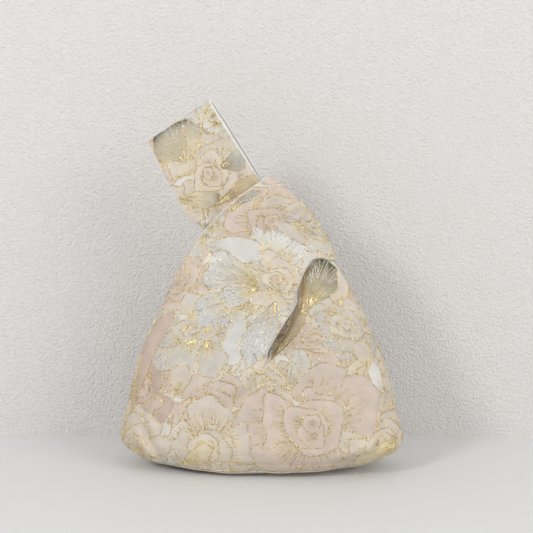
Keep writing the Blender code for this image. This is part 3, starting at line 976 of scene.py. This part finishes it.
def tints_of(petals, places):
    """Each place's tint, lame, stripes and hatching, from the uppermost petal there."""
    top = owners(petals, places)
    tints = np.tile(GROUND, (len(places), 1))
    lames = np.full(len(places), GROUND_LAME)
    stripes, hatches = np.zeros(len(places)), np.zeros(len(places))
    for i, petal in enumerate(petals):
        mine = top == i
        x, y = (places[mine] - petal.centre).T
        share = np.clip((np.hypot(x, y) - petal.base) / (petal.reach - petal.base), 0, 1)
        share = (share ** petal.fade)[:, None]
        tints[mine] = petal.inner * (1 - share) + petal.outer * share
        lames[mine] = petal.lame
        turned = np.arctan2(y, x) - petal.way
        turned = (turned + math.pi) % (2 * math.pi) - math.pi
        stripes[mine] = turned * petal.reach / STRIPE_PITCH * 2 * math.pi
        hatches[mine] = 0.35 + 0.65 * np.abs(2 * share[:, 0] - 1)
    return tints, {"lame": lames, "stripe": stripes, "hatch": hatches}


# The cloth is pulled in a little under the gold threads, and stands up softly between them.
PULL_DEPTH, PULL_REACH = 0.00014, 0.0014
PILLOW_RISE, PILLOW_REACH = 0.00022, 0.006
EDGE_DEPTH = 0.002  # cloth nearer than this to the middle plane stays where it is


def relief_of(lines, places):
    threads = KDTree(sum(len(line) for line in lines))
    for n, (x, y) in enumerate(spot for line in lines for spot in line):
        threads.insert((x, y, 0.0), n)
    threads.balance()
    away = np.array([threads.find((x, y, 0.0))[2] for x, y in places])
    pillow = PILLOW_RISE * (1 - np.exp(-((away / PILLOW_REACH) ** 2)))
    return pillow - PULL_DEPTH * np.exp(-((away / PULL_REACH) ** 2))


def lay_on(bm, spots):
    """Gives a function that lays lines of the flat fabric on the shaped cloth."""
    spots = [spot.to_3d() for spot in spots]
    laid = [vertex.co.copy() for vertex in bm.verts]
    ways = [vertex.normal.copy() for vertex in bm.verts]
    bm.verts.index_update()
    faces = []
    for face in bm.faces:
        a, b, c, d = (v.index for v in face.verts)
        faces.extend(((a, b, c), (a, c, d)))
    tree = BVHTree.FromPolygons(spots, faces)

    def on_cloth(line, proud):
        """A flat line's places on the shaped cloth; None where there is no cloth."""
        found = []
        for x, y in line:
            hit, _, index, _ = tree.ray_cast(Vector((x, y, 1.0)), Vector((0.0, 0.0, -1.0)))
            if hit is None:
                found.append(None)
                continue
            corners = faces[index]
            flat = [spots[j] for j in corners]
            at = barycentric_transform(hit, *flat, *(laid[j] for j in corners))
            way = barycentric_transform(hit, *flat, *(ways[j] for j in corners))
            found.append(at + way.normalized() * proud)
        return found

    return on_cloth


BROCADE_THICKNESS = 0.0009


def brocade_panel(name, side, flowers, singles, chance):
    """One outer panel, how lines are laid on it, and the lines of its three kinds of thread."""
    bm = panel_mesh(side, 1)
    place = bm.verts.layers.int["place"]
    spots = [flat_place[divmod(vertex[place], COLUMNS + 1)] for vertex in bm.verts]
    places = np.array(spots)
    petals = pattern(flowers, singles, chance)
    outlines = outline_lines(petals)
    base_hatch, rim_hatch = hatch_lines(petals, chance)
    normals = [vertex.normal.copy() for vertex in bm.verts]
    for vertex, normal, rise in zip(bm.verts, normals, relief_of(outlines, places)):
        if abs(vertex.co.y) > EDGE_DEPTH:
            vertex.co += normal * float(rise)
    bm.normal_update()
    on_cloth = lay_on(bm, spots)
    mesh = mesh_of(bm, name, brocade)
    write_tints(mesh, *tints_of(petals, places))
    panel = add_piece(name, mesh, BROCADE_THICKNESS)
    return panel, on_cloth, (outlines, base_hatch, rim_hatch)


def strand_data(name, radius, resolution, material, capped=False):
    data = bpy.data.curves.new(name, "CURVE")
    data.dimensions = "3D"
    data.bevel_depth = radius
    data.bevel_resolution = resolution
    data.use_fill_caps = capped
    data.materials.append(material)
    return data


def add_strand(data, places, radii=None, kind="POLY"):
    """One strand through the places, with its radius there as a share of the curve's own."""
    strand = data.splines.new(kind)
    strand.points.add(len(places) - 1)
    for point, at, radius in zip(strand.points, places, radii or [1.0] * len(places)):
        point.co = (*at, 1.0)
        point.radius = radius
    return strand


# The threads: each kind's name, material, radius, height over the cloth and unevenness.
THREADS = (
    ("gold_outlines_", gold_thread, 0.00035, 0.00006, 0.34),
    ("gold_hatching_", fine_gold, 0.00018, 0.00004, 0.2),
    ("silver_hatching_", fine_silver, 0.00022, 0.00005, 0.2),
)


def dress(side_name, side, flowers, singles, seed):
    """One outer panel with its threads, each kind of thread one piece of thin round strands."""
    chance = random.Random(seed)
    panel, on_cloth, kinds = brocade_panel(
        "brocade_" + side_name, side, flowers, singles, chance
    )
    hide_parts("outer_" + side_name)
    for (name, material, radius, proud, uneven), lines in zip(THREADS, kinds):
        data = strand_data(name + side_name, radius, 0, material)
        for line in lines:
            found = on_cloth(line, proud)
            for stretch in runs(found, [at is not None for at in found]):
                radii = [
                    1 + uneven * (0.7 * math.sin(2.6 * i) + chance.uniform(-0.5, 0.5))
                    for i in range(len(stretch))
                ]
                add_strand(data, stretch, radii)
        add_piece(name + side_name, data)
    return panel


def flat_area(panel):
    """The cloth's own area, from the faces laid flat."""
    uv = panel.data.uv_layers["cloth"].data
    total = 0.0
    for face in panel.data.polygons:
        corners = [uv[i].uv for i in face.loop_indices]
        a, b = corners[2] - corners[0], corners[3] - corners[1]
        total += abs(a.x * b.y - a.y * b.x) / 2
    return total


front = dress("front", -1, FRONT_FLOWERS, FRONT_PETALS, 11)
back = dress("back", 1, BACK_FLOWERS, BACK_PETALS, 23)
for panel in (front, back):
    flat_area(panel)


# The lining, front and back: thin white satin of the same cut, sewn into the outer cloth along
# every edge. The two are turned right side out, so the satin's edge shows as a fine white rim.
def satin_material():
    material, tree, shader = new_material("satin")
    values = {"Base Color": (0.80, 0.79, 0.77, 1.0), "Roughness": 0.36, "Sheen Weight": 0.35}
    values["Normal"] = bump_of(tree, noise_on(tree, cloth_uv(tree), 60.0), 0.4, 0.0008)
    set_sockets(tree, shader, values)
    return material


satin = satin_material()
SATIN_THICKNESS = 0.0004
SATIN_INSET = 0.00125  # from the brocade's face to the satin's
FOOT_BAND = 0.006  # this far up from the foot's seam the satin is moved sideways only


def satin_panel(side_name, side):
    bm = panel_mesh(side, 2)
    inward = [(vertex, -vertex.normal) for vertex in bm.verts]
    for vertex, way in inward:
        if vertex.co.z - foot_wave(vertex.co.x) < FOOT_BAND:
            way = Vector((way.x, way.y, 0.0))
        vertex.co += way * SATIN_INSET
        vertex.co.y = side * max(vertex.co.y * side, 0.0001)
    name = "satin_" + side_name
    panel = add_piece(name, mesh_of(bm, name, satin), SATIN_THICKNESS)
    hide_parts("lining_" + side_name)


satin_panel("front", -1)
satin_panel("back", 1)


# The rims: where the lining rolls over the turned-in edge of the brocade, along the neckline,
# the armholes and both loops. They are wider along the handle's right edge, where x + z stays
# the same, and tucked in at the short loop's lower right corner.
RIM_RADIUS = 0.00042
RIM_OUT = 0.00012  # past the cloth's edge
RIM_BEHIND = 0.0011  # behind its face
ROLLED_OUT = 0.0016  # how much further out the back rim lies on the handle
ROLLED_WIDER = 1.2
TUCKED_THINNER = 0.7


def rim_lines():
    """The line of the rim along each free edge of the straps."""
    short_top, long_top = BODY_ROWS + SHORT_ROWS, BODY_ROWS + LONG_ROWS
    edges = (
        (0, 2, short_top, True),
        (STRAP_COLUMNS, -2, short_top, False),
        (STRAP_COLUMNS + NOTCH_COLUMNS, 2, long_top, False),
        (COLUMNS, -2, long_top, True),
    )
    for column, inner, top_row, seamed in edges:
        line = []
        for row in range(BODY_ROWS, top_row, 2):
            at = surface[row, column]
            if seamed and at.z <= SEAM_TOP:
                continue
            out = (at - surface[row, column + inner]).normalized()
            up = (surface[row + 1, column] - surface[max(row - 1, BODY_ROWS), column]).normalized()
            across = -out if inner > 0 else out
            outer = across.cross(up).normalized()
            line.append(at + out * RIM_OUT - outer * RIM_BEHIND)
        yield line


def satin_rims(side_name, side):
    name = "satin_rims_" + side_name
    data = strand_data(name, RIM_RADIUS, 2, satin, capped=True)
    for line in rim_lines():
        places, radii = [], []
        for at in line:
            rolled = smooth((at.x + at.z - 0.252) / 0.01) * smooth((at.z - 0.25) / 0.02)
            tucked = smooth((at.x + at.z - 0.225) / 0.015) * (1 - smooth((at.z - 0.20) / 0.01))
            out = ROLLED_OUT * rolled * (side + 1) / 2
            places.append((at.x + 0.84 * out, side * max(-at.y, 0.0004), at.z + 0.54 * out))
            radii.append(1 + ROLLED_WIDER * rolled - TUCKED_THINNER * tucked)
        add_strand(data, places, radii)
    add_piece(name, data)


satin_rims("front", -1)
satin_rims("back", 1)


# The bottom: an oval of brocade with an oval of satin in it, sewn to the walls all round. Its
# middle lies on the table and its rim follows the waves of the foot.
OVAL_CORNERS = 144
OVAL_RINGS = 9


def oval_point(angle, inset, share):
    power = 2 / SECTION_POWER
    sine, cosine = math.sin(angle), math.cos(angle)
    x = math.copysign(abs(sine) ** power, sine) * (BASE_HALF_WIDTH - inset)
    y = -math.copysign(abs(cosine) ** power, cosine) * (BASE_HALF_DEPTH - inset)
    return x * share, y * share


def oval_area(inset):
    turns = (2 * math.pi * i / OVAL_CORNERS for i in range(OVAL_CORNERS))
    corners = [oval_point(turn, inset, 1.0) for turn in turns]
    pairs = zip(corners, corners[1:] + corners[:1])
    return abs(sum(a[0] * b[1] - a[1] * b[0] for a, b in pairs)) / 2


def bottom(name, node, material, inset, thickness):
    """One oval, set in from the foot and up from the table by the same length."""
    bm = bmesh.new()
    bmesh.ops.create_circle(bm, cap_ends=True, segments=OVAL_CORNERS, radius=1.0)
    for _ in range(OVAL_RINGS):
        middle = max(bm.faces, key=lambda f: len(f.verts))
        bmesh.ops.inset_region(bm, faces=[middle], thickness=0.1, use_even_offset=False)
    cloth = bm.loops.layers.uv.new("cloth")
    for vertex in bm.verts:
        share = min(vertex.co.length, 1.0)
        x, y = oval_point(math.atan2(vertex.co.x, -vertex.co.y), inset, share)
        vertex.co = (x, y, inset + foot_wave(x) * smooth((share - 0.30) / 0.40))
    for face in bm.faces:
        face.smooth = True
        for loop in face.loops:
            loop[cloth].uv = loop.vert.co.xy
    if bm.faces[:][0].normal.z > 0:
        bmesh.ops.reverse_faces(bm, faces=bm.faces[:])
    mesh = mesh_of(bm, name, material)
    count = len(mesh.vertices)
    tints = np.tile(PALETTES["pink"][1], (count, 1))
    write_tints(mesh, tints, {"lame": np.full(count, GROUND_LAME)})
    oval = add_piece(name, mesh, thickness)
    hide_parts(node)
    oval_area(inset)


bottom("brocade_base", "outer_base", brocade, 0.0002, BROCADE_THICKNESS)
bottom("satin_base", "lining_base", satin, 0.0016, SATIN_THICKNESS)

# The seam round the base, turned outwards: it shows as a pale ridge along the foot, a little
# uneven where the cloth is folded over.
RIDGE_CORNERS = 288
RIDGE_HEIGHT = 0.0011
seam_cloth = thread_material("seam_cloth", (0.50, 0.44, 0.33), (0.66, 0.61, 0.50), 0.6, 0.1)
seam_data = strand_data("base_seam", 0.0007, 3, seam_cloth)
ring = [oval_point(2 * math.pi * i / RIDGE_CORNERS, 0.0, 1.0) for i in range(RIDGE_CORNERS)]
ridge = add_strand(
    seam_data,
    [(x, y, RIDGE_HEIGHT + foot_wave(x)) for x, y in ring],
    [1 + 0.12 * math.sin(i * 2.1) for i in range(RIDGE_CORNERS)],
)
ridge.use_cyclic_u = True
add_piece("base_seam", seam_data)


# The side seams, closed from the base up to the armholes: fine stitches down in the groove
# where the two outer panels meet.
STITCH_START = 0.006
STITCH_PITCH = 0.0027
STITCH = ((0.0, 0.0004), (0.0010, 0.0), (0.0020, 0.0004))  # how high and how deep in the groove


def side_stitches(name, side):
    data = strand_data(name, 0.00022, 1, gold_thread, capped=True)
    z = STITCH_START
    while z < SEAM_TOP - 0.002:
        places = []
        for up, deep in STITCH:
            x = side * (half_sizes(z + up)[0] - deep)
            places.append((x, 0.0, raised(x, z + up)))
        add_strand(data, places)
        z += STITCH_PITCH
    add_piece(name, data)


side_stitches("side_stitches_left", -1)
side_stitches("side_stitches_right", 1)

# A loose end of gold thread, pulled out of the base seam at the right. It falls to the table
# and curls there.
LOOSE_PLACES = (
    (0.0835, -0.0240, 0.0076),
    (0.0850, -0.0290, 0.0050),
    (0.0880, -0.0320, 0.0018),
    (0.0930, -0.0310, 0.0016),
    (0.0960, -0.0330, 0.0006),
    (0.0990, -0.0310, 0.0005),
)
loose_data = strand_data("loose_thread", 0.00018, 1, gold_thread)
add_strand(loose_data, LOOSE_PLACES, kind="NURBS").use_endpoint_u = True
add_piece("loose_thread", loose_data)

# The stage: a pale table and an off-white wall of rough plaster behind it, square to the
# camera. The wall shows from the front only, so that views from behind look past it.
CAMERA_TURN = math.radians(5.0)
CAMERA_TILT = math.radians(6.5)


def stage_material(name, colour, roughness, grain=0.0):
    """A plain surface, or with a grain rough plaster that is clear from behind."""
    material, tree, shader = new_material(name)
    set_sockets(tree, shader, {"Base Color": (*colour, 1.0), "Roughness": roughness})
    if grain:
        plaster = noise_on(tree, tree.nodes.new("ShaderNodeTexCoord").outputs["Object"], 460.0, 5.0)
        set_sockets(tree, shader, {"Normal": bump_of(tree, plaster, 1.0, grain)})
        behind = tree.nodes.new("ShaderNodeNewGeometry").outputs["Backfacing"]
        clear = tree.nodes.new("ShaderNodeBsdfTransparent").outputs["BSDF"]
        seen = {0: behind, 1: shader.outputs["BSDF"], 2: clear}
        mixed = add_node(tree, "ShaderNodeMixShader", seen).outputs["Shader"]
        set_sockets(tree, tree.nodes["Material Output"], {"Surface": mixed})
    return material


def stage_plane(name, width, length, material, place, tilt):
    bm = bmesh.new()
    bmesh.ops.create_grid(bm, x_segments=1, y_segments=1, size=0.5)
    bmesh.ops.scale(bm, vec=(width, length, 1.0), verts=bm.verts[:])
    turn = Matrix.Rotation(CAMERA_TURN, 4, "Z") @ Matrix.Translation(place)
    bmesh.ops.transform(bm, matrix=turn @ Matrix.Rotation(tilt, 4, "X"), verts=bm.verts[:])
    plane = bpy.data.objects.new(name, mesh_of(bm, name, material))
    bpy.context.collection.objects.link(plane)


table = stage_material("table", (0.715, 0.72, 0.72), 0.5)
wall = stage_material("wall", (0.775, 0.757, 0.742), 0.9, 0.0028)
stage_plane("table", 6.0, 4.0, table, (0.0, -1.888, -0.0002), 0.0)
stage_plane("wall", 6.0, 4.0, wall, (0.0, 0.112, 1.9998), QUARTER)

# The lights: a small, strong one from the upper left, which draws the bag's shadow on the
# wall, a broad one from the right and an even white sky.
LIT_PLACE = Vector((0.0, 0.0, 0.13))


def lamp(name, place, size, power, colour):
    data = bpy.data.lights.new(name, "AREA")
    data.shape = "DISK"
    data.size = size
    data.energy = power
    data.color = colour
    light = bpy.data.objects.new(name, data)
    light.location = place
    light.rotation_euler = (LIT_PLACE - Vector(place)).to_track_quat("-Z", "Y").to_euler()
    bpy.context.collection.objects.link(light)


lamp("key", (-1.05, -1.50, 1.15), 0.50, 13.4, (1.0, 0.995, 0.985))
lamp("fill", (1.3, -1.1, 0.95), 1.2, 10.5, (1.0, 0.975, 0.94))

world = bpy.data.worlds.new("studio")
world.use_nodes = True
world.node_tree.nodes["Background"].inputs["Color"].default_value = (1.0, 1.0, 1.0, 1.0)
world.node_tree.nodes["Background"].inputs["Strength"].default_value = 0.70
bpy.context.scene.world = world

# The camera: as far off as the photograph's seems to be, a little to the right of the bag
# and above it.
CAMERA_AIM = Vector((0.0077, -0.03, 0.185))
CAMERA_DISTANCE = 1.09
camera_data = bpy.data.cameras.new("camera")
camera_data.lens = 85.0
camera = bpy.data.objects.new("camera", camera_data)
back_off = Vector(
    (
        math.sin(CAMERA_TURN) * math.cos(CAMERA_TILT),
        -math.cos(CAMERA_TURN) * math.cos(CAMERA_TILT),
        math.sin(CAMERA_TILT),
    )
)
camera.location = CAMERA_AIM + back_off * CAMERA_DISTANCE
camera.rotation_euler = (-back_off).to_track_quat("-Z", "Y").to_euler()
bpy.context.collection.objects.link(camera)
bpy.context.scene.camera = camera
bpy.context.scene.view_settings.view_transform = "Standard"
